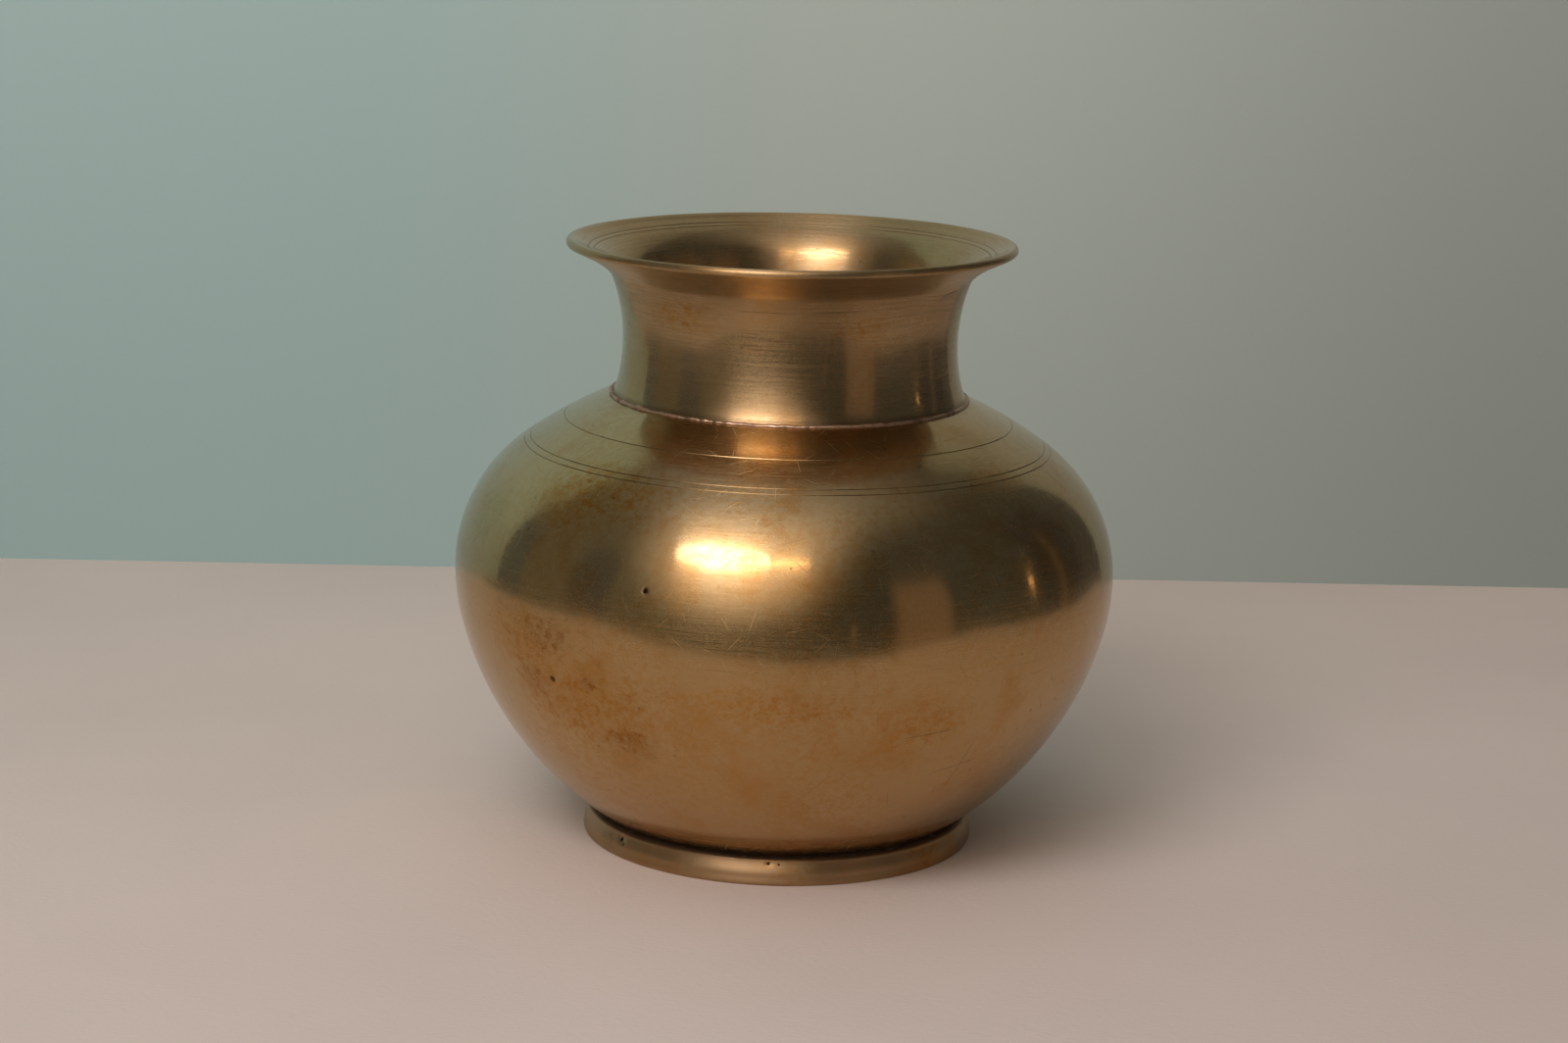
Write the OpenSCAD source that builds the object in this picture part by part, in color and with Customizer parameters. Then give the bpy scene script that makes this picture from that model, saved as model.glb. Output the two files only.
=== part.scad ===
// Lota: a round-bellied brass water pot on a low foot ring.
// +Z is up, the turning axis is Z, and the foot ring stands on z = 0.

/* [Belly] */
// Widest diameter of the belly
belly_d = 150; // [146:1:154]
// Height of the widest line above the table
belly_z = 62.2; // [61:0.2:64]
// Wall thickness of the bowl and shoulder
belly_wall = 1.5; // [1:0.1:2]
// Outline radius above the widest line
crown_r = 34.7; // [33:0.1:36]
// Angle up from the widest line at which the shoulder begins
crown_a = 53.6; // [52:0.2:55]
// Outline radius of the shoulder
shoulder_r = 100; // [90:1:110]
// Outline radius just below the widest line
waist_r = 47.1; // [45:0.1:49]
// Angle down from the widest line at which the flank begins
waist_a = 15.6; // [14:0.2:17]
// Outline radius of the flank
flank_r = 77.7; // [76:0.1:80]
// Angle down at which the heel begins
flank_a = 52; // [50:0.5:53]
// Outline radius of the heel, over the foot ring
heel_r = 46.7; // [44:0.1:48]
// Angle down at which the base corner begins
heel_a = 58; // [57:0.5:60]
// Outline radius of the corner into the flat base
base_corner_r = 12; // [10:0.5:14]

/* [Neck] */
// Outer radius at the root of the neck
root_r = 40.2; // [39.8:0.1:41]
// Outer radius at the throat, the narrowest part
throat_r = 37.8; // [37:0.1:38.5]
// Height of the throat
throat_z = 115; // [113:0.5:117]
// Wall thickness of the neck
neck_wall = 1.6; // [1.2:0.1:1.8]
// Outer radius where the neck bends out into the rim
bend_r = 40.6; // [40:0.1:41]
// Height at which the neck bends out into the rim
bend_z = 129.2; // [128:0.2:130]

/* [Rim] */
// Outer radius of the rim
rim_r = 50.7; // [49:0.1:52]
// Height of the pot, to the top of the lip
pot_h = 137.1; // [136.5:0.1:138]
// Thickness of the rounded lip
lip_t = 1.9; // [1.6:0.1:2.2]
// Slope of the rim's underside, in degrees from level
rim_slope = 25; // [22:0.5:28]

/* [Foot] */
// Outer radius of the foot ring at the table
foot_r = 44.9; // [44:0.1:46]
// Height of the foot ring
foot_h = 5.7; // [5.4:0.1:5.8]
// How far the ring draws in towards its top
foot_draft = 1.1; // [0.8:0.1:1.3]
// Inner radius of the foot ring
foot_bore_r = 40.6; // [40.4:0.1:41]

/* [Joints and engraving] */
// Radius of the brazing bead at the root of the neck
bead_r = 0.95; // [0.7:0.05:1.1]
// Depth and half width of an engraved line
line_depth = 0.35; // [0.2:0.05:0.5]

/* [Hidden] */
$fn = 96;

// heights of the engraved lines on the shoulder: one fine line, then a pair
SHOULDER_LINES = [96.7, 91.95, 91.0];
// how far the engraved pair inside the rim lies from the rim's edge
RIM_LINES = [5.1, 6.3];
// width of the rounded lip, measured inward from the rim's edge
LIP_W = 2.9;
// straight stretch of the rim between its lip and its bend
RIM_FLAT = 4;
// how far the wall leans out from upright where it bends into the rim
BEND_LEAN = 24.8;
// reach of the curves' handles: at the root, the throat, the bend and the rim
ROOT_PULL = [-1.9, 3.3];
THROAT_PULL = 4.5;
BEND_PULL = 4.1;
RIM_PULL = 2.7;
// how far the neck's section is drawn down into the shoulder before it is cut to fit
NECK_SINK = 1;
// how far the brazing bead's centre lies out of and above the corner it fills
BEAD_SHIFT = [0.2, 0.05];
// height by which the lip's inner edge stands over the lip's centre
LIP_STEP = 0.1;
// how far the lip's arc runs past its tangent point, in degrees
LIP_OVERRUN = 10;
// small roundings on the foot ring
FOOT_EDGE = 0.5;
// where the foot ring's face has its knee: inset from the table edge, share of the height
FOOT_KNEE = [0.2, 0.4];
// height of the solder fillet, and how far it stands back at its foot and halfway up
SOLDER_RISE = 2;
SOLDER_BACK = [0.1, 0.25];
SOLDER_BEND = 0.7;

EQUATOR = [belly_d / 2, belly_z];
// centres of the outline's arcs, each tangent to the one before it
CROWN_C = EQUATOR - [crown_r, 0];
SHOULDER_C = next_centre(CROWN_C, crown_r, shoulder_r, crown_a);
WAIST_C = EQUATOR - [waist_r, 0];
FLANK_C = next_centre(WAIST_C, waist_r, flank_r, -waist_a);
HEEL_C = next_centre(FLANK_C, flank_r, heel_r, -flank_a);
BASE_C = next_centre(HEEL_C, heel_r, base_corner_r, -heel_a);

MOUTH_R = root_r - neck_wall;
ROOT_Z = SHOULDER_C.y + sqrt(pow(shoulder_r, 2) - pow(root_r - SHOULDER_C.x, 2));
LIP_C = [rim_r - lip_t / 2, pot_h - lip_t / 2];
LIP_IN = [rim_r - LIP_W, LIP_C.y + LIP_STEP];

// unit vector at angle a
function dir(a) = [cos(a), sin(a)];

// centre of the arc of radius r2 that carries on smoothly from an arc of radius r1 at angle a
function next_centre(c, r1, r2, a) = c + (r1 - r2) * dir(a);

// n points along an arc, leaving out its first point
function arc(c, r, a0, a1, n) = [for (i = [1:n]) c + r * dir(a0 + (a1 - a0) * i / n)];

// n points along a cubic curve, leaving out its first point
function curve(p, n) = [for (i = [1:n]) let (t = i / n, s = 1 - t)
    p[0] * s * s * s + 3 * p[1] * s * s * t + 3 * p[2] * s * t * t + p[3] * t * t * t];

// a list of points the other way round
function reversed(p) = [for (i = [len(p) - 1:-1:0]) p[i]];

// the bowl's outline from the axis out and up to radius r_end, drawn in from the outside by depth t
function bowl_line(t, r_end) = concat(
    [[0, BASE_C.y - base_corner_r + t]],
    [BASE_C - [0, base_corner_r - t]],
    arc(BASE_C, base_corner_r - t, -90, -heel_a, 5),
    arc(HEEL_C, heel_r - t, -heel_a, -flank_a, 3),
    arc(FLANK_C, flank_r - t, -flank_a, -waist_a, 10),
    arc(WAIST_C, waist_r - t, -waist_a, 0, 4),
    arc(CROWN_C, crown_r - t, 0, crown_a, 10),
    arc(SHOULDER_C, shoulder_r - t, crown_a, acos((r_end - SHOULDER_C.x) / (shoulder_r - t)), 5)
);

// outer radius of the shoulder at height z
function shoulder_r_at(z) = SHOULDER_C.x + sqrt(pow(shoulder_r, 2) - pow(z - SHOULDER_C.y, 2));

// everything inside the bowl's outer face
module bowl_outline() {
    polygon(concat(bowl_line(0, MOUTH_R), [[0, ROOT_Z]]));
}

// the point where the wall bends out into the rim, at depth t from the outer face
function bend(t) = [bend_r, bend_z] - t * dir(-BEND_LEAN);

// one side of the neck's wall at depth t, from the root up to the bend
function neck_side(t) = concat(
    [[root_r - t, ROOT_Z + t / 3]],
    curve([[root_r - t, ROOT_Z + t / 3], [root_r - t, ROOT_Z + t / 3] + ROOT_PULL,
        [throat_r - t, throat_z - THROAT_PULL], [throat_r - t, throat_z]], 6),
    curve([[throat_r - t, throat_z], [throat_r - t, throat_z + THROAT_PULL],
        bend(t) - BEND_PULL * dir(90 - BEND_LEAN), bend(t)], 7)
);

// the stretch that bends from the neck out to point p on the rim's flat, at depth t
function rim_bend(t, p) = curve([bend(t), bend(t) + BEND_PULL / 3 * dir(90 - BEND_LEAN),
    p - RIM_PULL * dir(rim_slope), p], 6);

// the neck and rim in section, from the root up the outside and down the inside
module neck_outline() {
    polygon(concat(
        [[MOUTH_R, ROOT_Z - NECK_SINK], [root_r, ROOT_Z - NECK_SINK]],
        neck_side(0),
        rim_bend(0, LIP_C + lip_t / 2 * dir(rim_slope - 90) - RIM_FLAT * dir(rim_slope)),
        arc(LIP_C, lip_t / 2, rim_slope - 90 - LIP_OVERRUN, 90, 7),
        reversed(rim_bend(neck_wall, LIP_IN - RIM_FLAT * dir(rim_slope))),
        reversed(neck_side(neck_wall))
    ));
}

// the foot ring in section, cut off flat at the top
module foot_outline() {
    polygon([
        [foot_bore_r + FOOT_EDGE, 0],
        [foot_r - FOOT_EDGE, 0],
        [foot_r, FOOT_EDGE],
        [foot_r - FOOT_KNEE.x, foot_h * FOOT_KNEE.y],
        [foot_r - foot_draft, foot_h - FOOT_EDGE],
        [foot_r - foot_draft - FOOT_EDGE, foot_h],
        [foot_bore_r, foot_h],
        [foot_bore_r, FOOT_EDGE]
    ]);
}

// a small V cut that a graver leaves
module engraved(p) {
    translate(p) rotate(45) square(line_depth * sqrt(2), center = true);
}

// raised bowl with its shoulder, closed base and open mouth
module belly_bowl() {
    color("#8a6236") rotate_extrude() difference() {
        polygon(concat(bowl_line(0, MOUTH_R), reversed(bowl_line(belly_wall, MOUTH_R))));
        for (z = SHOULDER_LINES) engraved([shoulder_r_at(z), z]);
    }
}

// neck and out-turned rim in one piece, its foot cut to sit on the shoulder
module neck_rim() {
    color("#94703f") rotate_extrude() difference() {
        neck_outline();
        bowl_outline();
        for (d = RIM_LINES) engraved([rim_r - d, LIP_IN.y - (d - LIP_W) * tan(rim_slope)]);
    }
}

// bead of brazing spelter in the corner between shoulder and neck
module neck_braze() {
    color("#a5725a") rotate_extrude() difference() {
        translate([root_r, ROOT_Z] + BEAD_SHIFT) circle(bead_r, $fn = 24);
        bowl_outline();
        neck_outline();
    }
}

// cast ring that the bowl stands on
module foot_ring() {
    color("#6f5430") rotate_extrude() difference() {
        foot_outline();
        bowl_outline();
    }
}

// blackened solder in the wedge between the bowl and the ring
module foot_solder() {
    outer = foot_r - foot_draft - FOOT_EDGE;
    color("#3a3028") rotate_extrude() difference() {
        polygon([
            [foot_bore_r, foot_h],
            [outer - SOLDER_BACK[0], foot_h],
            [outer - SOLDER_BACK[1], foot_h + SOLDER_BEND],
            [outer, foot_h + SOLDER_RISE],
            [foot_bore_r, foot_h + SOLDER_RISE]
        ]);
        bowl_outline();
        foot_outline();
    }
}

belly_bowl();
neck_rim();
neck_braze();
foot_ring();
foot_solder();
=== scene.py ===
"""Looks of a brass lota water pot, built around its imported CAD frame.

Five brass-smith's pieces stand for the five CAD nodes: the raised bowl, the neck with its
rim, the brazing bead between them, the cast foot ring and the solder that holds it. Each is
an outline that is drawn point by point and spun about the pot's turning axis. Sizes are in
millimetres and the meshes in metres, in the frame's own axes: +Z is up, the pot stands on
z = 0 and its turning axis is Z. Azimuth 0 looks out along -Y and 90 along +X.
"""

from __future__ import annotations

import logging
import math
from collections.abc import Callable, Iterable
from dataclasses import dataclass, field
from enum import Enum
from functools import cache

import bpy
from mathutils import Matrix, Vector

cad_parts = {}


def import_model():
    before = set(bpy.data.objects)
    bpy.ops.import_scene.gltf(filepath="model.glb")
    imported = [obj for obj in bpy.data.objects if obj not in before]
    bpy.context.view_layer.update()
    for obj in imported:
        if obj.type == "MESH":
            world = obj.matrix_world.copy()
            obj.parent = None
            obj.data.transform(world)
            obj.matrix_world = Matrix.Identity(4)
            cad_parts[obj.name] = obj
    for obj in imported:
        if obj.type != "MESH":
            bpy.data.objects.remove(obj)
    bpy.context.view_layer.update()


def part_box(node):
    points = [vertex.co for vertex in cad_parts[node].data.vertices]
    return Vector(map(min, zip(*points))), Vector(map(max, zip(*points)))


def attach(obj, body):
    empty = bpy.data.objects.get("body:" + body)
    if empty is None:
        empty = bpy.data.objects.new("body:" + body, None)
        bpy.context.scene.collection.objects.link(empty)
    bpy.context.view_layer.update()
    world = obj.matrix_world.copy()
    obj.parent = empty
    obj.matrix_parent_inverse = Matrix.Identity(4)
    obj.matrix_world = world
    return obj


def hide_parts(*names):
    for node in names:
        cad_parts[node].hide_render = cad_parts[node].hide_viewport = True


LOG = logging.getLogger("lota")
MM = 0.001

Colour = tuple[float, float, float]
Value = object
Body, Material = bpy.types.Object, bpy.types.Material
Node, Socket, Tree = bpy.types.Node, bpy.types.NodeSocket, bpy.types.NodeTree

ORIGIN = (0.0, 0.0, 0.0)


# ---------------------------------------------------------------- outlines


def turned(angle: float) -> Vector:
    """Unit vector in the outline's plane at an angle in degrees."""
    return Vector((math.cos(math.radians(angle)), math.sin(math.radians(angle))))


def around(azimuth: float, radius: float, height: float) -> Vector:
    """Point on the pot, in metres.

    Args:
        azimuth: Degrees from the front, towards +X.
        radius: Distance from the turning axis, in millimetres.
        height: Height above the table, in millimetres.

    Returns:
        The point in the frame's axes.
    """
    a = math.radians(azimuth)
    return Vector((radius * math.sin(a), -radius * math.cos(a), height)) * MM


@dataclass(frozen=True)
class Groove:
    """A line cut round the metal with a pointed graver."""

    width: float
    depth: float
    shape: tuple[tuple[float, float], ...] = ((-0.5, 0), (-0.3, 0.35), (0, 1), (0.3, 0.35), (0.5, 0))


@dataclass
class Outline:
    """A line of points (radius, height), in millimetres, with metal on its left-hand side."""

    points: list[Vector] = field(default_factory=list)
    soil: list[float] = field(default_factory=list)

    def to(self, *points: Iterable[float]) -> None:
        """Goes straight to each point in turn."""
        for point in points:
            self.points.append(Vector(point))
            self.soil.append(0.0)

    def arc(self, centre: Vector, radius: float, start: float, end: float, step: float) -> None:
        """Follows an arc, leaving out its first point.

        Args:
            centre: The arc's centre.
            radius: The arc's radius.
            start: Angle at which the arc starts, in degrees.
            end: Angle at which it ends.
            step: Longest gap between points.
        """
        count = max(2, math.ceil(abs(math.radians(end - start)) * radius / step))
        self.to(*(centre + radius * turned(start + (end - start) * i / count) for i in range(1, count + 1)))

    def curve(self, a: Vector, b: Vector, c: Vector, d: Vector, step: float) -> None:
        """Follows a cubic curve from a to d with handles b and c, leaving out its first point."""
        count = max(2, math.ceil(((b - a).length + (c - b).length + (d - c).length) / step))
        for i in range(1, count + 1):
            t, s = i / count, 1 - i / count
            self.to(a * s**3 + b * (3 * s * s * t) + c * (3 * s * t * t) + d * t**3)

    def engrave(self, offset: Callable[[Vector], float], groove: Groove, crossing: int = 1) -> None:
        """Cuts a groove where the outline passes a place.

        Args:
            offset: Signed distance from that place; the outline passes it where the sign changes.
            groove: The cut to make.
            crossing: Which of several such passes takes the cut.
        """
        stretches = enumerate(zip(self.points, self.points[1:]))
        passed = [i for i, (a, b) in stretches if offset(a) * offset(b) <= 0]
        at = passed[crossing - 1]
        a, b = self.points[at], self.points[at + 1]
        middle = a.lerp(b, abs(offset(a)) / (abs(offset(a)) + abs(offset(b))))
        along = (b - a).normalized()
        inward = Vector((-along.y, along.x))
        clear = groove.width * 0.8
        low, high = at, at + 1
        while (self.points[low] - middle).length < clear:
            low -= 1
        while (self.points[high] - middle).length < clear:
            high += 1
        cut = [middle + along * (x * groove.width) + inward * (y * groove.depth) for x, y in groove.shape]
        self.points[low + 1 : high] = cut
        self.soil[low + 1 : high] = [y for _, y in groove.shape]


# ---------------------------------------------------------------- mesh work


@dataclass(frozen=True)
class Ripple:
    """Slow or fine unevenness of a surface: its size and how far it stands out, in millimetres."""

    size: float
    height: float
    group: str = ""


class Lathe:
    """Makes solid pieces by spinning outlines, as a turner does."""

    @staticmethod
    def clear_selection() -> None:
        """Deselects everything, so that an operator acts only on what comes next."""
        if bpy.context.object and bpy.context.object.mode != "OBJECT":
            bpy.ops.object.mode_set(mode="OBJECT")
        bpy.ops.object.select_all(action="DESELECT")

    @classmethod
    def pick(cls, piece: Body) -> None:
        """Selects one piece alone, for the operators that come next."""
        cls.clear_selection()
        piece.select_set(True)
        bpy.context.view_layer.objects.active = piece

    @classmethod
    def spin(cls, name: str, outline: Outline, steps: int) -> Body:
        """Spins an outline a full turn about Z.

        Args:
            name: The new piece's name.
            outline: The section, ended where it began or on the axis.
            steps: How many stretches the turn is made of.

        Returns:
            The piece, closed, with its faces pointing out of the metal.
        """
        cls.clear_selection()
        places = [Vector((p.x, 0, p.y)) * MM for p in outline.points]
        bpy.ops.mesh.primitive_plane_add(size=MM, location=places[0])
        piece = bpy.context.object
        piece.name = piece.data.name = name
        bpy.ops.object.transform_apply(location=True)
        bpy.ops.object.mode_set(mode="EDIT")
        bpy.ops.mesh.select_all(action="SELECT")
        bpy.ops.mesh.merge(type="CENTER")
        for here, there in zip(places, places[1:]):
            bpy.ops.mesh.extrude_region_move(TRANSFORM_OT_translate={"value": there - here})
        bpy.ops.object.mode_set(mode="OBJECT")
        cls.lay_soil(piece, places, outline.soil)
        turn = piece.modifiers.new("turn", "SCREW")
        turn.angle, turn.axis, turn.use_merge_vertices = math.tau, "Z", True
        turn.steps = turn.render_steps = steps
        turn.merge_threshold = 0.001 * MM
        bpy.ops.object.modifier_apply(modifier=turn.name)
        bpy.ops.object.mode_set(mode="EDIT")
        bpy.ops.mesh.select_all(action="SELECT")
        bpy.ops.mesh.remove_doubles(threshold=0.01 * MM)
        bpy.ops.mesh.normals_make_consistent(inside=False)
        bpy.ops.object.mode_set(mode="OBJECT")
        return piece

    @staticmethod
    def lay_soil(piece: Body, places: list[Vector], soil: list[float]) -> None:
        """Stores how much dirt lies at each point, to be carried round by the spin.

        Args:
            piece: The piece, still a plain line of points.
            places: The outline's points, in metres.
            soil: The dirt at each of them, 0 to 1.
        """
        layer = piece.data.attributes.new("soil", "FLOAT", "POINT")
        for vertex in piece.data.vertices:
            nearest = min(range(len(places)), key=lambda i: (places[i] - vertex.co).length)
            layer.data[vertex.index].value = soil[nearest]

    @classmethod
    def weigh(cls, piece: Body, name: str, weight: Callable[[Vector], float]) -> None:
        """Paints a vertex group.

        Args:
            piece: The piece to paint.
            name: The group's name.
            weight: Gives each point's weight, 0 to 1, from its place in metres.
        """
        group = piece.vertex_groups.new(name=name)
        for vertex in piece.data.vertices:
            group.add([vertex.index], weight(vertex.co), "REPLACE")

    @classmethod
    def ripple(cls, piece: Body, *ripples: Ripple) -> None:
        """Makes a surface uneven, each ripple as a displacement that is then applied."""
        cls.pick(piece)
        for number, ripple in enumerate(ripples):
            cloud = bpy.data.textures.new(f"{piece.name}_ripple_{number}", "CLOUDS")
            cloud.noise_scale = ripple.size * MM
            modifier = piece.modifiers.new(f"ripple_{number}", "DISPLACE")
            modifier.texture = cloud
            modifier.texture_coords = "LOCAL"
            modifier.strength = 2 * ripple.height * MM
            modifier.vertex_group = ripple.group
            bpy.ops.object.modifier_apply(modifier=modifier.name)

    @classmethod
    def press(cls, piece: Body, place: Vector, push: Vector, reach: float) -> None:
        """Presses or knocks the surface at one place, fading out around it.

        Args:
            piece: The piece to press.
            place: The point that is pressed, in metres.
            push: How far and which way it goes, in metres.
            reach: How far around the push is felt, in millimetres.
        """
        cls.pick(piece)
        for part in (piece.data.vertices, piece.data.edges, piece.data.polygons):
            part.foreach_set("select", [False] * len(part))
        min(piece.data.vertices, key=lambda v: (v.co - place).length).select = True
        bpy.ops.object.mode_set(mode="EDIT")
        bpy.ops.mesh.select_mode(type="VERT")
        bpy.ops.transform.translate(
            value=push,
            use_proportional_edit=True,
            use_proportional_connected=True,
            proportional_edit_falloff="SMOOTH",
            proportional_size=reach * MM,
        )
        bpy.ops.object.mode_set(mode="OBJECT")

    @classmethod
    def lean(cls, piece: Body, angle: float, pivot: Vector) -> None:
        """Leans a piece so that its +X side rises.

        Args:
            piece: The piece to lean.
            angle: How far, in degrees.
            pivot: The point that stays where it is, in metres.
        """
        cls.pick(piece)
        bpy.ops.object.mode_set(mode="EDIT")
        bpy.ops.mesh.select_all(action="SELECT")
        bpy.ops.transform.rotate(value=math.radians(angle), orient_axis="Y", center_override=pivot)
        bpy.ops.object.mode_set(mode="OBJECT")

    @classmethod
    def soften(cls, piece: Body, angle: float = 30) -> None:
        """Shades the piece smooth, but for edges sharper than an angle in degrees."""
        cls.pick(piece)
        bpy.ops.object.shade_smooth_by_angle(angle=math.radians(angle))


# ---------------------------------------------------------------- node work


class Graph:
    """Adds nodes to one tree and links them up."""

    def __init__(self, tree: Tree) -> None:
        """Starts on a tree, which may hold nodes already."""
        self.tree = tree

    def feed(self, socket: Socket, value: Value) -> None:
        """Links a socket to an input, or sets the input to a plain value."""
        if isinstance(value, Socket):
            self.tree.links.new(value, socket)
        else:
            socket.default_value = value

    def add(self, kind: str, inputs: dict | None = None, **settings: Value) -> Node:
        """Adds a node.

        Args:
            kind: The node's type.
            inputs: What feeds its inputs, by name or number.
            settings: The node's own settings.

        Returns:
            The new node.
        """
        node = self.tree.nodes.new(kind)
        for name, value in settings.items():
            setattr(node, name, value)
        for key, value in (inputs or {}).items():
            self.feed(node.inputs[key], value)
        return node

    def math(self, operation: str, *values: Value, clamp: bool = False) -> Socket:
        """Result of a math node."""
        node = self.add("ShaderNodeMath", dict(enumerate(values)), operation=operation, use_clamp=clamp)
        return node.outputs[0]

    def plus(self, first: Value, second: Value) -> Socket:
        """Sum of two numbers."""
        return self.math("ADD", first, second)

    def minus(self, first: Value, second: Value) -> Socket:
        """Difference of two numbers."""
        return self.math("SUBTRACT", first, second)

    def times(self, first: Value, second: Value) -> Socket:
        """Product of two numbers."""
        return self.math("MULTIPLY", first, second)

    def over(self, first: Value, second: Value) -> Socket:
        """One number divided by another."""
        return self.math("DIVIDE", first, second)

    def vector(self, operation: str, *values: Value) -> Socket:
        """Result of a vector math node, a number where the operation gives one."""
        node = self.add("ShaderNodeVectorMath", dict(enumerate(values)), operation=operation)
        is_number = operation in ("DOT_PRODUCT", "LENGTH", "DISTANCE")
        return node.outputs["Value" if is_number else "Vector"]

    def scaled(self, vector: Value, by: Value) -> Socket:
        """A vector times a number."""
        return self.add("ShaderNodeVectorMath", {0: vector, "Scale": by}, operation="SCALE").outputs[0]

    def split(self, vector: Value) -> tuple[Socket, ...]:
        """The three parts of a vector."""
        return tuple(self.add("ShaderNodeSeparateXYZ", {0: vector}).outputs)

    def join(self, x: Value, y: Value, z: Value) -> Socket:
        """A vector of three parts."""
        return self.add("ShaderNodeCombineXYZ", {0: x, 1: y, 2: z}).outputs[0]

    def step(self, value: Value, low: float, high: float, start: float = 0, end: float = 1) -> Socket:
        """A smooth step from start to end as a value goes from low to high."""
        inputs = {"Value": value, "From Min": low, "From Max": high, "To Min": start, "To Max": end}
        return self.add("ShaderNodeMapRange", inputs, interpolation_type="SMOOTHSTEP").outputs["Result"]

    def blend(self, share: Value, first: Value, second: Value, kind: str = "MIX") -> Socket:
        """Two colours blended, from first to second as share goes from 0 to 1."""
        inputs = {0: share, 6: opaque(first), 7: opaque(second)}
        return self.add("ShaderNodeMix", inputs, data_type="RGBA", blend_type=kind).outputs[2]

    def between(self, share: Value, first: Value, second: Value) -> Socket:
        """A number between first and second, as share goes from 0 to 1."""
        return self.add("ShaderNodeMix", {0: share, 2: first, 3: second}).outputs[0]

    def noise(self, vector: Value, scale: Value, detail: float = 2, roughness: float = 0.5) -> Socket:
        """Cloudy noise, about 0 to 1."""
        inputs = {"Vector": vector, "Scale": scale, "Detail": detail, "Roughness": roughness}
        return self.add("ShaderNodeTexNoise", inputs).outputs[0]

    def emboss(self, shader: Node, height: Value) -> None:
        """Makes a shader's surface stand out by a height in metres."""
        bump = self.add("ShaderNodeBump", {"Height": height, "Distance": 1.0, "Strength": 1.0})
        self.feed(shader.inputs["Normal"], bump.outputs["Normal"])

    def place(self, group: Tree, **inputs: Value) -> bpy.types.NodeOutputs:
        """Places a node group and gives its outputs. Inputs go by name, with _ for a space."""
        node = self.add("ShaderNodeGroup", node_tree=group)
        for name, value in inputs.items():
            self.feed(node.inputs[name.replace("_", " ")], value)
        return node.outputs


def opaque(colour: Value) -> Value:
    """A plain colour with full alpha, or a socket as it is."""
    return (*colour, 1.0) if isinstance(colour, tuple) and len(colour) == 3 else colour


def start_finish(name: str) -> tuple[Material, Graph, Node]:
    """Makes a material, and gives it with its graph and its Principled shader."""
    material = bpy.data.materials.new(name)
    material.use_nodes = True
    g = Graph(material.node_tree)
    return material, g, g.tree.nodes["Principled BSDF"]


class GroupMaker(Graph):
    """Starts a node group with named inputs and outputs."""

    def __init__(self, name: str, inputs: dict[str, Value], outputs: Iterable[str]) -> None:
        """Makes the group.

        Args:
            name: The group's name.
            inputs: Each input's name and what it is unless linked, a number or three.
            outputs: The outputs' names, each a number.
        """
        super().__init__(bpy.data.node_groups.new(name, "ShaderNodeTree"))
        for title, value in inputs.items():
            kind = "NodeSocketVector" if isinstance(value, tuple) else "NodeSocketFloat"
            self.tree.interface.new_socket(title, in_out="INPUT", socket_type=kind).default_value = value
        for title in outputs:
            self.tree.interface.new_socket(title, in_out="OUTPUT", socket_type="NodeSocketFloat")
        self.given = self.add("NodeGroupInput").outputs
        self.result = self.add("NodeGroupOutput").inputs

    def give(self, **values: Value) -> Tree:
        """Links each output to its value and gives the finished group."""
        for name, value in values.items():
            self.feed(self.result[name.replace("_", " ")], value)
        return self.tree


@cache
def turning_marks() -> Tree:
    """Fine marks that run round the axis, left by turning and scouring.

    Returns:
        A group that takes Position, Pitch (marks per metre), Run (how short a mark is) and
        Wander (how far the marks stray, in metres), and gives Height.
    """
    inputs = {"Position": ORIGIN, "Pitch": 2000.0, "Run": 6.0, "Wander": 0.0005}
    g = GroupMaker("turning_marks", inputs, ["Height"])
    place, pitch = g.given["Position"], g.given["Pitch"]
    x, y, z = g.split(place)
    flat = g.join(x, y, 0.0)
    radius = g.vector("LENGTH", flat)
    direction = g.split(g.scaled(g.vector("NORMALIZE", flat), g.given["Run"]))
    stray = g.times(g.noise(place, 90.0, 1), g.given["Wander"])
    height = g.times(g.plus(z, stray), pitch)
    reach = g.times(g.plus(radius, stray), pitch)
    inputs = {"Vector": g.join(direction[0], direction[1], height), "W": reach, "Scale": 1.0,
              "Detail": 2.0, "Roughness": 0.6}
    marks = g.add("ShaderNodeTexNoise", inputs, noise_dimensions="4D").outputs[0]
    return g.give(Height=marks)


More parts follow.
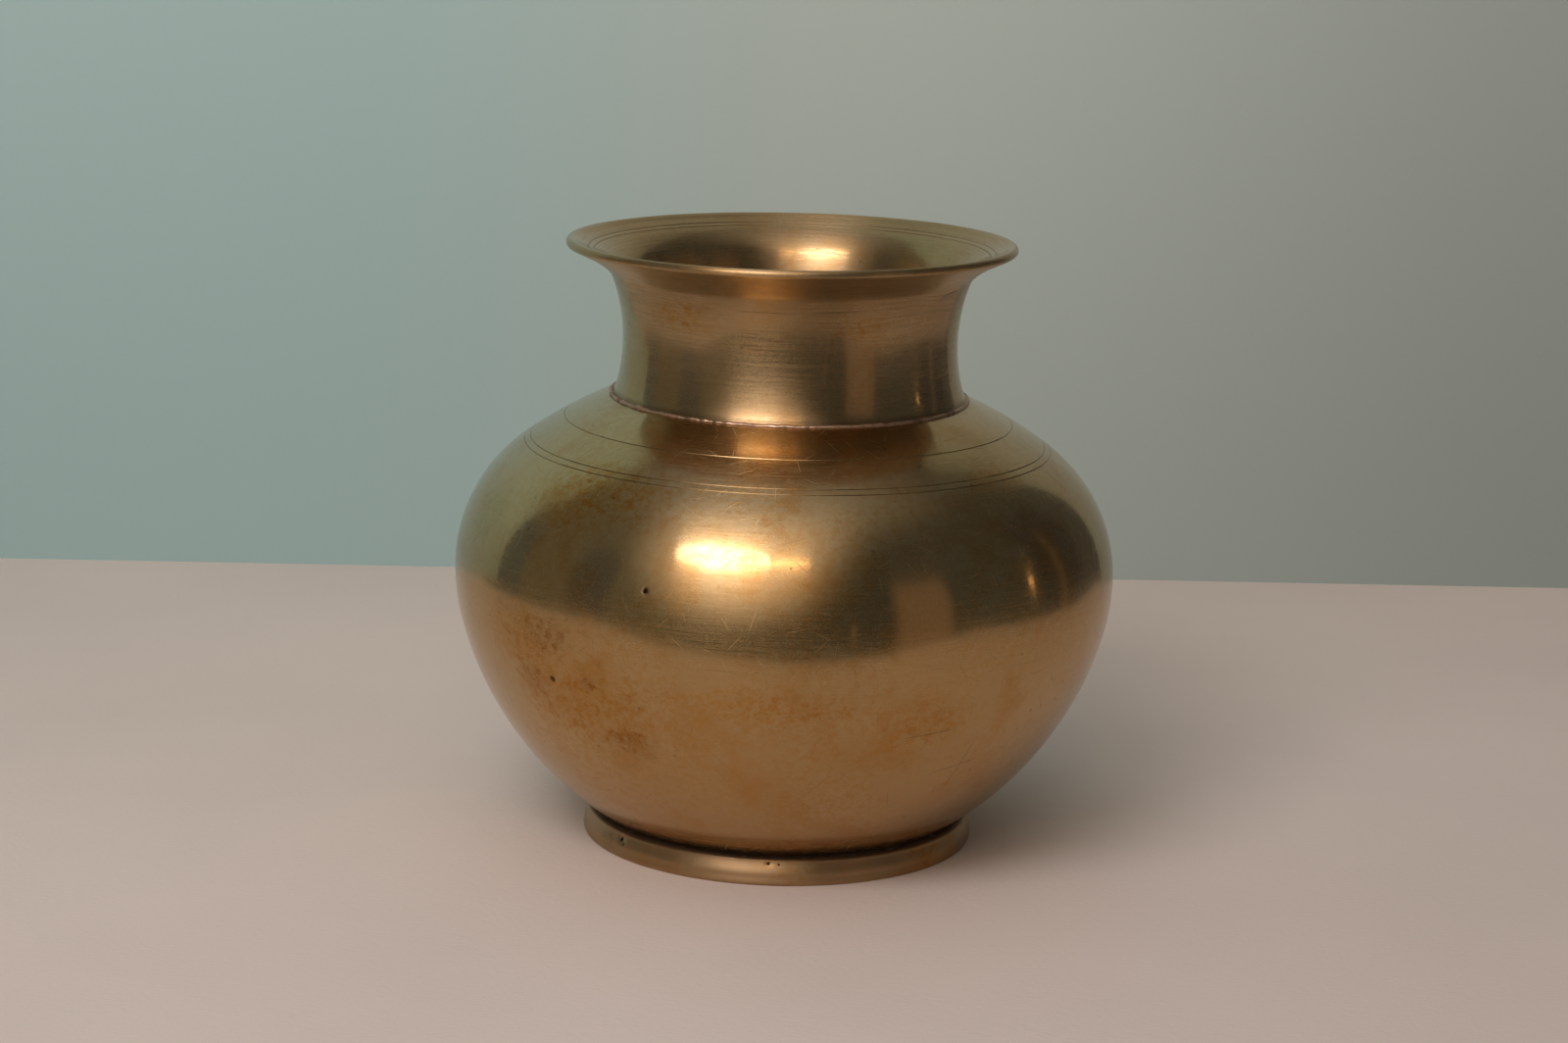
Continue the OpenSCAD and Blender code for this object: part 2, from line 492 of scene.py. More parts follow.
@cache
def scratch_web() -> Tree:
    """Short straight scratches in every direction, one to a cell.

    Returns:
        A group that takes Position, Normal, Cell (a cell's size) and Width, both in metres,
        and Share (how many cells have a scratch), and gives Mask.
    """
    inputs = {"Position": ORIGIN, "Normal": (0, 0, 1), "Cell": 0.006, "Width": 0.0001, "Share": 0.5}
    g = GroupMaker("scratch_web", inputs, ["Mask"])
    place = g.given["Position"]
    density = g.over(1.0, g.given["Cell"])
    cell = g.add("ShaderNodeTexVoronoi", {"Vector": place, "Scale": density}).outputs
    from_centre = g.vector("SUBTRACT", place, cell["Position"])
    lean = g.vector("SUBTRACT", cell["Color"], (0.5, 0.5, 0.5))
    across = g.vector("NORMALIZE", g.vector("CROSS_PRODUCT", lean, g.given["Normal"]))
    away = g.math("ABSOLUTE", g.vector("DOT_PRODUCT", from_centre, across))
    line = g.math("SUBTRACT", 1.0, g.over(away, g.given["Width"]), clamp=True)
    reach = g.over(g.vector("LENGTH", from_centre), g.given["Cell"])
    fade = g.step(reach, 0.3, 0.6, 1, 0)
    red, green, _ = g.split(cell["Color"])
    lot = g.math("FRACT", g.times(g.plus(red, green), 7.31))
    present = g.math("LESS_THAN", lot, g.given["Share"])
    return g.give(Mask=g.times(g.times(line, fade), present))


@cache
def speckles() -> Tree:
    """Tiny pits and specks.

    Returns:
        A group that takes Position, Cell (their spacing) and Size, both in metres, and gives Mask.
    """
    g = GroupMaker("speckles", {"Position": ORIGIN, "Cell": 0.003, "Size": 0.0003}, ["Mask"])
    density = g.over(1.0, g.given["Cell"])
    cell = g.add("ShaderNodeTexVoronoi", {"Vector": g.given["Position"], "Scale": density}).outputs
    size = g.times(g.given["Size"], density)
    near = g.over(cell["Distance"], size)
    return g.give(Mask=g.step(near, 0.5, 1.2, 1, 0))


@cache
def blotch() -> Tree:
    """One ragged patch at a named place.

    Returns:
        A group that takes Position, Centre, Reach (its radius in metres), Flat (how much wider
        than tall it is) and Rag (noise that frays its edge), and gives Mask.
    """
    inputs = {"Position": ORIGIN, "Centre": ORIGIN, "Reach": 0.005, "Flat": 1.0, "Rag": 0.5}
    g = GroupMaker("blotch", inputs, ["Mask"])
    x, y, z = g.split(g.vector("SUBTRACT", g.given["Position"], g.given["Centre"]))
    level = g.over(g.vector("LENGTH", g.join(x, y, 0.0)), g.given["Flat"])
    away = g.over(g.vector("LENGTH", g.join(level, z, 0.0)), g.given["Reach"])
    frayed = g.plus(away, g.times(g.minus(g.given["Rag"], 0.5), 1.6))
    return g.give(Mask=g.step(frayed, 0.35, 1.15, 1, 0))


@cache
def long_scratch() -> Tree:
    """One long scratch between two places.

    Returns:
        A group that takes Position, Start, Along (the way to its end over the squared length),
        Across (a unit vector over the width) and Span (the length in metres), and gives Mask.
    """
    inputs = {"Position": ORIGIN, "Start": ORIGIN, "Along": (1, 0, 0), "Across": (0, 0, 1), "Span": 0.01}
    g = GroupMaker("long_scratch", inputs, ["Mask"])
    away = g.vector("SUBTRACT", g.given["Position"], g.given["Start"])
    t = g.vector("DOT_PRODUCT", away, g.given["Along"])
    ends = g.times(g.step(t, 0.0, 0.3), g.step(t, 0.7, 1.0, 1, 0))
    side = g.math("ABSOLUTE", g.vector("DOT_PRODUCT", away, g.given["Across"]))
    line = g.math("SUBTRACT", 1.0, side, clamp=True)
    near = g.math("LESS_THAN", g.vector("LENGTH", away), g.times(g.given["Span"], 1.1))
    return g.give(Mask=g.times(g.times(line, ends), near))


@cache
def level_band() -> Tree:
    """A ragged band round the pot at one height.

    Returns:
        A group that takes Position, Level and Reach, both in metres, and Rag, and gives Mask.
    """
    inputs = {"Position": ORIGIN, "Level": 0.1, "Reach": 0.002, "Rag": 0.5}
    g = GroupMaker("level_band", inputs, ["Mask"])
    height = g.split(g.given["Position"])[2]
    away = g.math("ABSOLUTE", g.minus(height, g.given["Level"]))
    share = g.over(away, g.given["Reach"])
    frayed = g.plus(share, g.times(g.minus(g.given["Rag"], 0.5), 1.2))
    return g.give(Mask=g.step(frayed, 0.1, 1.0, 1, 0))


# ---------------------------------------------------------------- finishes


@dataclass(frozen=True)
class MarkLook:
    """What a kind of mark does to the metal: its tint, how much it dulls, how deep it lies."""

    tint: Colour
    dull: float
    depth: float = 0.0


class MarkKind(Enum):
    """The kinds of mark that wear and handling leave on brass."""

    BROWN_STAIN = MarkLook((0.66, 0.47, 0.28), 0.08)
    ORANGE_STAIN = MarkLook((0.93, 0.70, 0.34), 0.08)
    GREEN_BLOOM = MarkLook((0.66, 0.74, 0.52), 0.10)
    PALE_SCUFF = MarkLook((1.05, 1.12, 1.35), 0.16)
    PIT = MarkLook((0.06, 0.045, 0.035), 0.30, 0.04)


@dataclass(frozen=True)
class Mark:
    """One mark at a place on a piece, in degrees and millimetres."""

    kind: MarkKind
    azimuth: float
    height: float
    reach: float
    flat: float = 1.0
    strength: float = 1.0


@dataclass(frozen=True)
class Scratch:
    """One long scratch, from one (azimuth, height) to another."""

    start: tuple[float, float]
    end: tuple[float, float]
    width: float = 0.17
    strength: float = 0.75


@dataclass(frozen=True)
class Seam:
    """A darker band along a joint or edge at one height, in millimetres: gathered dirt, and at the foot
    joint also painted shade of the gap under the bowl.
    """

    level: float
    reach: float
    strength: float = 0.6


@dataclass
class Skin:
    """A finish as far as it has come: where it is read, and its colour, roughness and height."""

    g: Graph
    place: Socket
    rag: Socket
    dapple: Socket
    colour: Value = None
    rough: Value = None
    height: Value = None

    def tint(self, share: Value, colour: Value, kind: str = "MIX") -> None:
        """Blends a colour in by a share."""
        self.colour = self.g.blend(share, self.colour, colour, kind)

    def dull(self, share: Value, amount: float) -> None:
        """Roughens the skin by a share of an amount."""
        self.rough = self.g.plus(self.rough, self.g.times(share, amount))

    def sink(self, share: Value, depth: float) -> None:
        """Lowers the skin by a share of a depth in millimetres."""
        self.height = self.g.minus(self.height, self.g.times(share, depth * MM))

    def mask(self, group: Tree, strength: float, **inputs: Value) -> Socket:
        """A group's mask where the skin is read, weakened to a strength."""
        return self.g.times(self.g.place(group, Position=self.place, **inputs)["Mask"], strength)


@dataclass(frozen=True)
class Web:
    """Fine scratches all over: their spacing and width in metres, and how many there are."""

    cell: float
    width: float
    share: float
    shift: tuple[float, float, float] = ORIGIN


@dataclass(frozen=True)
class Brass:
    """Old brass that has been turned, scoured and handled.

    The skin is a mirror with a fine haze of turning marks in it, clouded by tarnish. Below one
    height it is coppery and above another clean; satin is the height at which the outside
    starts to dull, the height at which it is dullest, and how much rougher it is there.
    """

    name: str
    clean: Colour = (0.54, 0.385, 0.195)
    coppery: Colour = (0.48, 0.315, 0.142)
    coppery_below: float = 56.0
    clean_above: float = 82.0
    tarnished: Colour = (0.44, 0.215, 0.048)
    tarnish_low: float = 0.46
    tarnish_high: float = 0.70
    tarnish_share: float = 0.6
    mirror: float = 0.09
    haze: float = 0.27
    haze_share: float = 0.42
    swirls: float = 0.24
    mottle: float = 0.50
    satin: tuple[float, float, float] = (0.0, 1.0, 0.0)
    inner_dull: float = 0.0
    pitch: float = 2600.0
    run: float = 5.0
    grain_pitch: float = 30000.0
    grain_run: float = 200.0
    wander: float = 0.0006
    turning_depth: float = 0.00016
    anisotropy: float = 0.93
    scratch_depth: float = 0.004
    speck_cell: float = 0.0078
    speck_size: float = 0.00038
    swirl_web: Web = Web(0.0045, 0.00009, 0.75)
    nick_web: Web = Web(0.013, 0.00007, 0.5, (1.3, 0.2, 2.2))
    soil: Colour = (0.16, 0.11, 0.06)

    def material(
        self,
        surface: Callable[[float, float], Vector],
        marks: Iterable[Mark] = (),
        scratches: Iterable[Scratch] = (),
        seams: Iterable[Seam] = (),
    ) -> Material:
        """Builds the finish for one piece.

        Args:
            surface: Gives the point on the piece at an azimuth and a height.
            marks: Stains, pits and scuffs at named places.
            scratches: Long scratches at named places.
            seams: Joints darkened by gathered dirt, and at the foot by painted shade as well.

        Returns:
            The material.
        """
        material, g, shader = start_finish(self.name)
        given = g.add("ShaderNodeTexCoord").outputs
        place, normal = given["Object"], given["Normal"]
        rag = g.noise(g.vector("MULTIPLY", place, (1.0, 1.0, 1.6)), 300.0, 6, 0.76)
        dapple = g.step(g.noise(place, 560.0, 6, 0.85), 0.44, 0.60)
        skin = Skin(g, place, rag, dapple)
        self.turn(skin, normal)
        self.scour(skin, normal)
        for mark in marks:
            self.lay(skin, mark, surface(mark.azimuth, mark.height))
        for scratch in scratches:
            self.score(skin, scratch, surface(*scratch.start), surface(*scratch.end))
        # Each seam darkens a band in the dirt colour; at the foot joint this is painted shade as well as
        # dirt.
        for seam in seams:
            level, reach = seam.level * MM, seam.reach * MM
            share = skin.mask(level_band(), seam.strength, Level=level, Reach=reach, Rag=rag)
            skin.tint(share, self.soil)
            skin.dull(share, 0.2)

        dirt = g.add("ShaderNodeAttribute", attribute_name="soil").outputs["Fac"]
        skin.tint(g.times(dirt, 0.7), self.soil)
        rough = g.math("ADD", skin.rough, g.times(dirt, 0.25), clamp=True)
        g.feed(shader.inputs["Base Color"], skin.colour)
        g.feed(shader.inputs["Roughness"], rough)
        g.emboss(shader, skin.height)
        round_axis = g.add("ShaderNodeTangent", direction_type="RADIAL", axis="Z").outputs[0]
        g.feed(shader.inputs["Tangent"], round_axis)
        shader.inputs["Metallic"].default_value = 1.0
        shader.inputs["Anisotropic"].default_value = self.anisotropy
        shader.inputs["Anisotropic Rotation"].default_value = 0.25
        return material

    def turn(self, skin: Skin, normal: Socket) -> None:
        """Lays down the turned metal with its tarnish, specks and turning marks.

        Args:
            skin: The finish, still bare.
            normal: The surface's own direction, which tells inside from outside.
        """
        g, place = skin.g, skin.place
        level = g.over(g.split(place)[2], MM)
        clouds = g.noise(place, 42.0, 3, 0.55)
        risen = g.step(level, self.coppery_below, self.clean_above)
        risen = g.plus(risen, g.step(clouds, 0.3, 0.7, -0.3, 0.3))
        skin.colour = g.blend(g.math("MAXIMUM", risen, 0.0, clamp=True), self.coppery, self.clean)
        stain = g.noise(g.vector("ADD", place, (3.1, 1.7, 0.4)), 62.0, 7, 0.68)
        tarnish = g.step(stain, self.tarnish_low, self.tarnish_high, 0, self.tarnish_share)
        skin.tint(tarnish, self.tarnished)
        skin.tint(g.times(g.step(clouds, 0.40, 0.60, 0.1, self.mottle), skin.dapple), self.tarnished)
        skin.tint(skin.mask(speckles(), 0.8, Cell=self.speck_cell, Size=self.speck_size), self.soil)

        turning, grain = (
            g.place(turning_marks(), Position=place, Pitch=pitch, Run=run, Wander=self.wander)["Height"]
            for pitch, run in ((self.pitch, self.run), (self.grain_pitch, self.grain_run))
        )
        skin.height = g.times(turning, self.turning_depth * MM * 2)
        mixed = g.plus(grain, g.step(turning, 0.3, 0.7, -0.04, 0.04))
        edge = 0.60 - 0.20 * self.haze_share
        skin.rough = g.between(g.step(mixed, edge - 0.12, edge + 0.12), self.mirror, self.haze)
        skin.dull(tarnish, 0.06)
        facing = g.vector("DOT_PRODUCT", g.vector("MULTIPLY", place, (1.0, 1.0, 0.0)), normal)
        satin = g.step(level, self.satin[0], self.satin[1], 0, self.satin[2])
        inside = g.math("LESS_THAN", facing, 0.0)
        skin.rough = g.plus(skin.rough, g.between(inside, satin, self.inner_dull))

    def scour(self, skin: Skin, normal: Socket) -> None:
        """Scratches the metal all over, as scouring does, with a close web and with stray nicks."""
        g = skin.g
        swirl, nicks = (
            g.place(
                scratch_web(), Position=g.vector("ADD", skin.place, web.shift), Normal=normal,
                Cell=web.cell, Width=web.width, Share=web.share,
            )["Mask"]
            for web in (self.swirl_web, self.nick_web)
        )
        skin.dull(swirl, self.swirls)
        skin.sink(swirl, self.scratch_depth * self.swirls)
        skin.sink(nicks, self.scratch_depth)
        skin.tint(g.times(nicks, 0.5), self.soil)

    @staticmethod
    def lay(skin: Skin, mark: Mark, at: Vector) -> None:
        """Lays one stain, scuff or pit on the skin."""
        look = mark.kind.value
        share = skin.mask(
            blotch(), mark.strength, Centre=at, Reach=mark.reach * MM, Flat=mark.flat, Rag=skin.rag
        )
        if not look.depth:
            share = skin.g.times(share, skin.g.step(skin.dapple, 0.0, 1.0, 0.35, 1.0))
        skin.tint(share, look.tint, "MULTIPLY")
        skin.dull(share, look.dull)
        if look.depth:
            skin.sink(share, look.depth)

    def score(self, skin: Skin, scratch: Scratch, start: Vector, end: Vector) -> None:
        """Cuts one long scratch into the skin, between two points in metres."""
        along = end - start
        outward = Vector((start.x, start.y, 0)).normalized()
        across = along.cross(outward).normalized() / (scratch.width * MM)
        share = skin.mask(
            long_scratch(), scratch.strength, Start=start, Along=along / along.length_squared,
            Across=across, Span=along.length,
        )
        skin.tint(share, self.soil)
        skin.sink(share, self.scratch_depth * 2)


@dataclass(frozen=True)
class JointMetal:
    """Rough filler metal in a joint: brazing spelter or solder."""

    name: str
    bright: Colour
    dark: Colour
    dark_low: float = 0.45
    dark_high: float = 0.60
    rough_low: float = 0.30
    rough_high: float = 0.65
    grain: float = 0.05
    metallic: float = 1.0

    def material(self) -> Material:
        """Builds the finish."""
        material, g, shader = start_finish(self.name)
        place = g.add("ShaderNodeTexCoord").outputs["Object"]
        lumps = g.noise(place, 240.0, 4, 0.6)
        grain = g.noise(place, 1500.0, 3, 0.6)
        dark = g.step(lumps, self.dark_low, self.dark_high)
        colour = g.blend(dark, self.bright, self.dark)
        colour = g.blend(g.step(grain, 0.4, 0.7, 0, 0.5), colour, self.dark)
        g.emboss(shader, g.times(grain, self.grain * MM))
        g.feed(shader.inputs["Base Color"], colour)
        g.feed(shader.inputs["Roughness"], g.step(lumps, 0.35, 0.65, self.rough_low, self.rough_high))
        shader.inputs["Metallic"].default_value = self.metallic
        return material


# ---------------------------------------------------------------- the pot's pieces


@dataclass
class Piece:
    """What every piece of the pot shares: the node it stands for and its slot in the record."""

    node: str = ""
    slot: str = ""

    def settle(self, piece: Body, material: Material) -> Body:
        """Dresses a finished piece and puts it in its CAD node's place.

        Args:
            piece: The mesh object.
            material: Its finish.

        Returns:
            The same object.
        """
        piece.data.materials.append(material)
        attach(piece, "root")
        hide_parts(self.node)
        LOG.info("%s: %d faces, stands for %s", piece.name, len(piece.data.polygons), self.node)
        return piece


@dataclass
class Bowl(Piece):
    """The raised bowl: flat base, round belly and shoulder, open at the neck."""

    node: str = "belly_bowl"
    slot: str = "belly_brass"
    equator: float = 62.2
    wall: float = 1.5
    crown: float = 34.7
    crown_end: float = 53.6
    shoulder: float = 100.0
    waist: float = 47.1
    waist_end: float = 15.6
    flank: float = 77.7
    flank_end: float = 52.0
    heel: float = 46.7
    heel_end: float = 58.0
    corner: float = 12.0
    lines: tuple[float, ...] = (96.7, 91.95, 91.0)
    spacing: float = 1.5
    steps: int = 384

    def __post_init__(self) -> None:
        """Takes the width from the frame and finds the arcs' centres."""
        self.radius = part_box(self.node)[1].x / MM
        widest = Vector((self.radius, self.equator))
        self.crown_at = widest - Vector((self.crown, 0))
        self.shoulder_at = self.crown_at + (self.crown - self.shoulder) * turned(self.crown_end)
        self.waist_at = widest - Vector((self.waist, 0))
        self.flank_at = self.waist_at + (self.waist - self.flank) * turned(-self.waist_end)
        self.heel_at = self.flank_at + (self.flank - self.heel) * turned(-self.flank_end)
        self.corner_at = self.heel_at + (self.heel - self.corner) * turned(-self.heel_end)

    def shoulder_height(self, radius: float, depth: float = 0.0) -> float:
        """Height of the shoulder over a radius, at a depth below its outer face."""
        reach = self.shoulder - depth
        return self.shoulder_at.y + math.sqrt(reach**2 - (radius - self.shoulder_at.x) ** 2)

    def side(self, outline: Outline, depth: float, mouth: float, spacing: float) -> None:
        """Draws one face of the wall, from the axis out and up to the mouth.

        Args:
            outline: The outline to draw on.
            depth: How far in from the outer face, in millimetres.
            mouth: Radius at which the wall ends.
            spacing: Longest gap between points.
        """
        base = self.corner_at - Vector((0, self.corner - depth))
        count = math.ceil(base.x / (2 * spacing))
        outline.to(*((base.x * i / count, base.y) for i in range(count + 1)))
        end = math.degrees(math.acos((mouth - self.shoulder_at.x) / (self.shoulder - depth)))
        outline.arc(self.corner_at, self.corner - depth, -90, -self.heel_end, spacing)
        outline.arc(self.heel_at, self.heel - depth, -self.heel_end, -self.flank_end, spacing)
        outline.arc(self.flank_at, self.flank - depth, -self.flank_end, -self.waist_end, spacing)
        outline.arc(self.waist_at, self.waist - depth, -self.waist_end, 0, spacing)
        outline.arc(self.crown_at, self.crown - depth, 0, self.crown_end, spacing)
        outline.arc(self.shoulder_at, self.shoulder - depth, self.crown_end, end, spacing)

    def radius_at(self, height: float) -> float:
        """Outer radius of the bowl at a height."""
        arcs = (
            (self.heel_at, self.heel, -self.heel_end),
            (self.flank_at, self.flank, -self.flank_end),
            (self.waist_at, self.waist, -self.waist_end),
            (self.crown_at, self.crown, 0.0),
            (self.shoulder_at, self.shoulder, self.crown_end),
        )
        reached = [a for a in arcs if height >= (a[0] + a[1] * turned(a[2])).y] or [arcs[0]]
        centre, radius, _ = reached[-1]
        return centre.x + math.sqrt(radius**2 - (height - centre.y) ** 2)

    def surface(self, azimuth: float, height: float) -> Vector:
        """Point on the outer face, in metres."""
        return around(azimuth, self.radius_at(height), height)

    def build(self, mouth: float) -> Body:
        """Makes the bowl.

        Args:
            mouth: Radius of its opening, which is the neck's bore.

        Returns:
            The finished piece.
        """
        outline, inner = Outline(), Outline()
        self.side(outline, 0, mouth, self.spacing)
        for line in self.lines:
            outline.engrave(lambda p, z=line: p.y - z, Groove(0.30, 0.12))
        self.side(inner, self.wall, mouth, 3 * self.spacing)
        outline.to(*reversed(inner.points))
        piece = Lathe.spin("bowl", outline, self.steps)
        Lathe.ripple(piece, Ripple(45, 0.10), Ripple(16, 0.018))
        Lathe.soften(piece)
        finish = Brass("scoured_belly_brass")
        worn = finish.material(self.surface, self.marks(), self.scratches(), self.seams())
        return self.settle(piece, worn)

    @staticmethod
    def marks() -> list[Mark]:
        """Stains, scuffs and pits on the belly."""
        kind = MarkKind
        rows = (
            (kind.PIT, -23, 71.5, 0.95),
            (kind.BROWN_STAIN, -34, 48.8, 2.0, 1.2, 0.8),
            (kind.BROWN_STAIN, -42, 58, 5.0, 1.6, 0.7),
            (kind.BROWN_STAIN, -28, 36, 4.0, 1.9, 0.7),
            (kind.BROWN_STAIN, -47, 47, 5.0, 1.2, 0.5),
            (kind.ORANGE_STAIN, -36, 44, 12.0, 1.6, 1.0),
            (kind.ORANGE_STAIN, -50, 56, 9.0, 1.5, 0.9),
            (kind.PIT, -42, 48.2, 0.8, 1.2, 0.8),
            (kind.ORANGE_STAIN, -4, 48, 5.0, 5.0, 0.7),
            (kind.ORANGE_STAIN, 26, 44, 7.0, 1.7, 0.6),
            (kind.ORANGE_STAIN, -36, 88.6, 6.0, 2.6, 1.0),
            (kind.ORANGE_STAIN, -44, 85, 7.0, 1.4, 0.8),
            (kind.ORANGE_STAIN, 48, 91, 4.0, 2.6, 0.8),
            (kind.GREEN_BLOOM, -67, 79, 8.0, 1.2, 0.6),
            (kind.PALE_SCUFF, 76, 40, 5.0, 1.1, 0.6),
            (kind.PALE_SCUFF, -52, 45, 4.0, 0.8, 0.4),
        )
        return [Mark(*row) for row in rows]

    @staticmethod
    def scratches() -> list[Scratch]:
        """Long scratches on the belly."""
        rows = (
            ((20, 40), (34, 41.5)),
            ((29, 30), (41, 32.5)),
            ((38, 40), (35, 24)),
            ((40, 40), (37, 26), 0.1, 0.35),
            ((51, 46), (54, 41), 0.16, 0.6),
            ((55, 40), (46, 34), 0.14, 0.5),
            ((60, 49), (73, 62), 0.12, 0.35),
            ((1, 22), (11, 33), 0.12, 0.4),
            ((-12, 33), (-9, 28), 0.14, 0.4),
            ((22, 27), (24, 21), 0.12, 0.5),
        )
        return [Scratch(*row) for row in rows]

    def seams(self) -> list[Seam]:
        """Dirt along the neck's root, and dirt with painted shade above the foot."""
        # The band at 6 mm, just above the foot, is painted shade of the gap as well as dirt.
        return [Seam(101.6, 1.0, 0.12), Seam(6.0, 0.8, 0.25)]


@dataclass
class Neck(Piece):
    """The neck and its out-turned rim, one piece of sheet with a rounded lip."""

    node: str = "neck_rim"
    slot: str = "neck_brass"
    root: float = 40.2
    throat: float = 37.8
    throat_height: float = 115.0
    wall: float = 1.6
    bend: tuple[float, float] = (40.6, 129.2)
    bend_lean: float = 24.8
    lip: float = 1.9
    lip_width: float = 2.9
    flat: float = 4.0
    slope: float = 25.0
    root_pull: tuple[float, float] = (-1.9, 3.3)
    throat_pull: float = 4.5
    bend_pull: float = 4.1
    rim_pull: float = 2.7
    lines: tuple[float, ...] = (5.1, 6.3)
    lean: float = 0.38
    sink: float = 0.5
    spacing: float = 0.8
    steps: int = 320

    def __post_init__(self) -> None:
        """Takes the rim's radius and the pot's height from the frame."""
        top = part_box(self.node)[1] / MM
        self.rim, self.height = top.x, top.z
        self.lip_at = Vector((self.rim - self.lip / 2, self.height - self.lip / 2))
        self.lip_inner = Vector((self.rim - self.lip_width, self.lip_at.y + 0.1))
        self.bore = self.root - self.wall

    def bend_at(self, depth: float) -> Vector:
        """The point where the wall bends out into the rim, at a depth from its outer face."""
        return Vector(self.bend) - depth * turned(-self.bend_lean)

    def side(self, outline: Outline, depth: float, root_height: float, rim_end: Vector) -> None:
        """Draws one face of the wall, from the root up and out to the rim's flat.

        Args:
            outline: The outline to draw on.
            depth: How far in from the outer face, in millimetres.
            root_height: Height at which the wall stands on the shoulder.
            rim_end: Where the bend runs into the rim's flat.
        """
        root = Vector((self.root - depth, root_height + depth / 3))
        throat = Vector((self.throat - depth, self.throat_height))
        reach = Vector((0, self.throat_pull))
        bend, rise = self.bend_at(depth), turned(90 - self.bend_lean)
        outline.to(root)
        outline.curve(root, root + Vector(self.root_pull), throat - reach, throat, self.spacing)
        outline.curve(throat, throat + reach, bend - self.bend_pull * rise, bend, self.spacing)
        outline.curve(
            bend, bend + self.bend_pull / 3 * rise, rim_end - self.rim_pull * turned(self.slope), rim_end,
            self.spacing,
        )

    def surface(self, azimuth: float, height: float) -> Vector:
        """Point on the neck's outer face, near enough for placing a mark, in metres."""
        flare = max(0.0, height - 122) ** 2 * 0.055
        return around(azimuth, self.throat + abs(height - self.throat_height) ** 2 * 0.012 + flare, height)

    def build(self, bowl: Bowl) -> Body:
        """Makes the neck and rim.

        Args:
            bowl: The bowl that it stands on.

        Returns:
            The finished piece.
        """
        root_height = bowl.shoulder_height(self.root)
        outline, inner = Outline(), Outline()
        outline.to((self.bore, bowl.shoulder_height(self.bore) - self.sink))
        outline.to((self.root, root_height - self.sink))
        down = self.lip_at + self.lip / 2 * turned(self.slope - 90)
        self.side(outline, 0, root_height, down - self.flat * turned(self.slope))
        outline.to(*(down - self.flat * (1 - i / 5) * turned(self.slope) for i in range(1, 6)))
        outline.arc(self.lip_at, self.lip / 2, self.slope - 90, 92, 0.18)
        bead_end = self.lip_inner + Vector((0.25, 0.16))
        start = outline.points[-1]
        outline.curve(start, start + Vector((-0.6, 0)), bead_end + Vector((0.5, 0.35)), bead_end, 0.3)
        flat_end = self.lip_inner - self.flat * turned(self.slope)
        outline.to(self.lip_inner)
        outline.to(*(self.lip_inner.lerp(flat_end, i / 5) for i in range(1, 5)))
        self.side(inner, self.wall, root_height, flat_end)
        outline.to(*reversed(inner.points))
        outline.to(outline.points[0])
        for line in self.lines:
            outline.engrave(lambda p, r=self.rim - line: p.x - r, Groove(0.30, 0.07), crossing=2)
        piece = Lathe.spin("neck_and_rim", outline, self.steps)
        Lathe.ripple(piece, Ripple(30, 0.06), Ripple(11, 0.015))
        Lathe.lean(piece, self.lean, Vector((0, 0, root_height * MM)))
        Lathe.soften(piece)
        finish = Brass(
            "turned_neck_brass", clean=(0.48, 0.335, 0.175), pitch=2400.0, run=3.0, mirror=0.09,
            turning_depth=0.0012, haze=0.36, haze_share=0.52, tarnish_share=0.35, swirls=0.03, mottle=0.3,
            satin=(119.0, 129.0, 0.14), inner_dull=0.04,
        )
        worn = finish.material(self.surface, self.marks(), self.scratches(), self.seams())
        return self.settle(piece, worn)

    @staticmethod
    def marks() -> list[Mark]:
        """Stains and pits on the neck."""
        kind = MarkKind
        rows = (
            (kind.PIT, -72, 121, 0.6, 0.6),
            (kind.PIT, -70, 119, 0.5, 0.7),
            (kind.PIT, 22, 124, 0.25),
            (kind.PIT, -12, 118, 0.3, 0.6),
            (kind.ORANGE_STAIN, -38, 124, 4.0, 2.6, 0.8),
            (kind.ORANGE_STAIN, 22, 123, 3.0, 2.6, 0.6),
            (kind.BROWN_STAIN, -62, 124, 4.0, 1.0, 0.5),
        )
        return [Mark(*row) for row in rows]

    @staticmethod
    def scratches() -> list[Scratch]:
        """Turning lines that stop part of the way round."""
        rows = (
            ((-19, 126.4), (2, 126.3), 0.22, 0.7),
            ((6, 126.5), (25, 127.0), 0.22, 0.7),
            ((53, 128.2), (64, 129.4), 0.3, 0.9),
            ((52, 127.4), (62, 128.5), 0.2, 0.6),
            ((58, 114.6), (68, 116.0), 0.3, 0.8),
        )
        return [Scratch(*row) for row in rows]

    @staticmethod
    def seams() -> list[Seam]:
        """Dirt at the neck's root."""
        return [Seam(102.4, 1.2, 0.5)]


